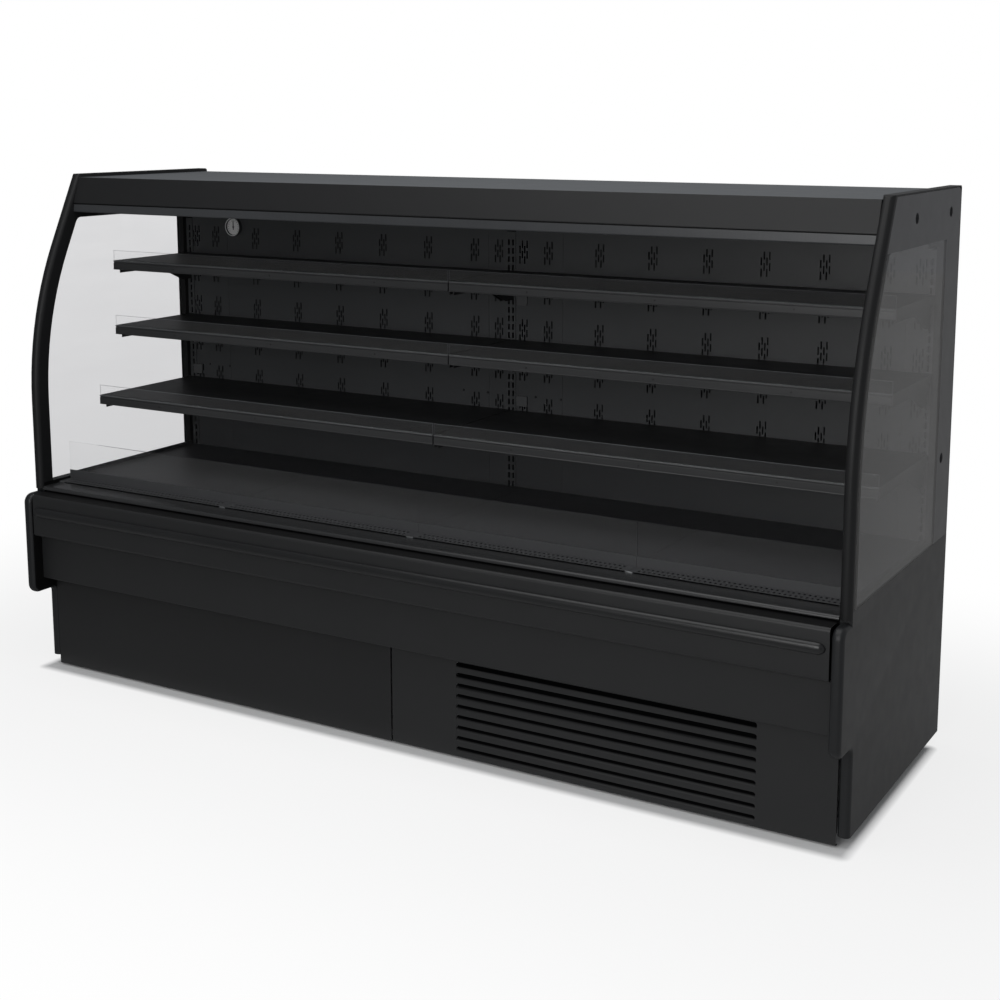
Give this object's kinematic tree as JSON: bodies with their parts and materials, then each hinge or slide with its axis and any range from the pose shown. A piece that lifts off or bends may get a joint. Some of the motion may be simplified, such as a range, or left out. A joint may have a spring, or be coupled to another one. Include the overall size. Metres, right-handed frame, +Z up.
{
  "type": "open multideck display fridge",
  "caption": "Semi-vertical open display fridge with tiered shelves, perforated back wall, glazed ends and a louvred plinth.",
  "frame": {"origin": "on the floor, under the middle of the cabinet's bounding box", "axes": "+Z up, X along the cabinet, -Y towards the open front that the customer faces"},
  "size_m": [2.56, 0.85, 1.51],
  "materials": {
    "charcoal_coat": "fine satin powder coat",
    "charcoal_end": "smooth satin coat on foamed end panels",
    "roof_coat": "blue-grey satin coat",
    "insulation_skin": "coated skin of a foamed body",
    "black_profile": "semi-gloss black profile",
    "end_glass": "clear polished glass",
    "riser_clear": "clear polished sheet",
    "diffuser": "translucent grey",
    "lamp": "white lamp housing",
    "grey_plastic": "matt grey",
    "dial": "printed dial and grey rim",
    "needle": "red needle",
    "zinc": "zinc-plated steel",
    "galvanised": "galvanised frame",
    "foot_black": "black adjustable foot",
    "fin_aluminium": "bright plate fins",
    "fan_plastic": "moulded black",
    "compressor_paint": "gloss black shell",
    "box_grey": "grey moulded box",
    "inlet_black": "black moulded inlet",
    "honeycomb": "dark moulded cells"
  },
  "bodies": {
    "cabinet": {"base_frame": "galvanised", "levelling_feet": "foot_black", "insulated_body": "insulation_skin", "deck_supports": "galvanised", "canopy_body": "insulation_skin", "roof_panel": "roof_coat", "canopy_fascia": "charcoal_coat", "light_diffuser": "diffuser", "led_lamps": "lamp", "air_honeycomb": "honeycomb", "back_panels": "charcoal_coat", "shelf_uprights": "charcoal_coat", "end_frames": "black_profile", "end_glass": "end_glass", "lower_ends": "charcoal_end", "return_grilles": "charcoal_coat", "deck_risers": "riser_clear", "nose_profile": "black_profile", "bumper_panel": "charcoal_coat", "bumper_bead": "black_profile", "lower_fascia": "charcoal_coat", "evaporator_coil": "fin_aluminium", "fan_plate": "galvanised", "compressor": "compressor_paint", "condenser_coil": "fin_aluminium", "condenser_shroud": "galvanised", "electrical_box": "box_grey", "power_inlet": "inlet_black", "thermometer_case": "dial", "socket_covers": "grey_plastic", "shelf_brackets": "charcoal_coat", "panel_screws": "zinc"},
    "top_left_shelf_body": {"top_left_shelf": "charcoal_coat", "top_left_ticket_rail": "black_profile", "top_left_riser": "riser_clear"},
    "top_right_shelf_body": {"top_right_shelf": "charcoal_coat", "top_right_ticket_rail": "black_profile", "top_right_riser": "riser_clear"},
    "middle_left_shelf_body": {"middle_left_shelf": "charcoal_coat", "middle_left_ticket_rail": "black_profile", "middle_left_riser": "riser_clear"},
    "middle_right_shelf_body": {"middle_right_shelf": "charcoal_coat", "middle_right_ticket_rail": "black_profile", "middle_right_riser": "riser_clear"},
    "lower_left_shelf_body": {"lower_left_shelf": "charcoal_coat", "lower_left_ticket_rail": "black_profile", "lower_left_riser": "riser_clear"},
    "lower_right_shelf_body": {"lower_right_shelf": "charcoal_coat", "lower_right_ticket_rail": "black_profile", "lower_right_riser": "riser_clear"},
    "deck_pan_1_body": {"deck_pan_1": "charcoal_coat"},
    "deck_pan_2_body": {"deck_pan_2": "charcoal_coat"},
    "deck_pan_3_body": {"deck_pan_3": "charcoal_coat"},
    "deck_pan_4_body": {"deck_pan_4": "charcoal_coat"},
    "kick_left": {"kick_panel_left": "charcoal_coat"},
    "kick_right": {"kick_panel_right": "charcoal_coat"},
    "needle": {"thermometer_needle": "needle"},
    "evaporator_fan_left_rotor": {"evaporator_fan_left": "fan_plastic"},
    "evaporator_fan_right_rotor": {"evaporator_fan_right": "fan_plastic"},
    "condenser_fan_rotor": {"condenser_fan": "fan_plastic"}
  },
  "joints": [
    {"name": "top_left_shelf_lift", "type": "hinge", "parent": "cabinet", "child": "top_left_shelf_body", "pos_m": [-0.625, 0.311, 1.236], "axis": [-1, 0, 0], "range_deg": [0, 15]},
    {"name": "top_right_shelf_lift", "type": "hinge", "parent": "cabinet", "child": "top_right_shelf_body", "pos_m": [0.625, 0.311, 1.236], "axis": [-1, 0, 0], "range_deg": [0, 15]},
    {"name": "middle_left_shelf_lift", "type": "hinge", "parent": "cabinet", "child": "middle_left_shelf_body", "pos_m": [-0.625, 0.311, 1.031], "axis": [-1, 0, 0], "range_deg": [0, 15]},
    {"name": "middle_right_shelf_lift", "type": "hinge", "parent": "cabinet", "child": "middle_right_shelf_body", "pos_m": [0.625, 0.311, 1.031], "axis": [-1, 0, 0], "range_deg": [0, 15]},
    {"name": "lower_left_shelf_lift", "type": "hinge", "parent": "cabinet", "child": "lower_left_shelf_body", "pos_m": [-0.625, 0.311, 0.819], "axis": [-1, 0, 0], "range_deg": [0, 15]},
    {"name": "lower_right_shelf_lift", "type": "hinge", "parent": "cabinet", "child": "lower_right_shelf_body", "pos_m": [0.625, 0.311, 0.819], "axis": [-1, 0, 0], "range_deg": [0, 15]},
    {"name": "deck_pan_1_lift", "type": "hinge", "parent": "cabinet", "child": "deck_pan_1_body", "pos_m": [-0.928, 0.311, 0.586], "axis": [-1, 0, 0], "range_deg": [0, 20]},
    {"name": "deck_pan_2_lift", "type": "hinge", "parent": "cabinet", "child": "deck_pan_2_body", "pos_m": [-0.2825, 0.311, 0.586], "axis": [-1, 0, 0], "range_deg": [0, 20]},
    {"name": "deck_pan_3_lift", "type": "hinge", "parent": "cabinet", "child": "deck_pan_3_body", "pos_m": [0.3655, 0.311, 0.586], "axis": [-1, 0, 0], "range_deg": [0, 20]},
    {"name": "deck_pan_4_lift", "type": "hinge", "parent": "cabinet", "child": "deck_pan_4_body", "pos_m": [0.97, 0.311, 0.586], "axis": [-1, 0, 0], "range_deg": [0, 20]},
    {"name": "kick_left_pull", "type": "slide", "parent": "cabinet", "child": "kick_left", "axis": [0, -1, 0], "range_m": [0, 0.2]},
    {"name": "kick_right_pull", "type": "slide", "parent": "cabinet", "child": "kick_right", "axis": [0, -1, 0], "range_m": [0, 0.2]},
    {"name": "needle_turn", "type": "hinge", "parent": "cabinet", "child": "needle", "pos_m": [-1.043, 0.3055, 1.327], "axis": [0, -1, 0], "range_deg": [-130, 130]},
    {"name": "evaporator_fan_left_spin", "type": "hinge", "parent": "cabinet", "child": "evaporator_fan_left_rotor", "pos_m": [-0.5, -0.086, 0.43], "axis": [0, -1, 0], "continuous": true},
    {"name": "evaporator_fan_right_spin", "type": "hinge", "parent": "cabinet", "child": "evaporator_fan_right_rotor", "pos_m": [0.5, -0.086, 0.43], "axis": [0, -1, 0], "continuous": true},
    {"name": "condenser_fan_spin", "type": "hinge", "parent": "cabinet", "child": "condenser_fan_rotor", "pos_m": [0.415, -0.17, 0.17], "axis": [0, -1, 0], "continuous": true}
  ]
}
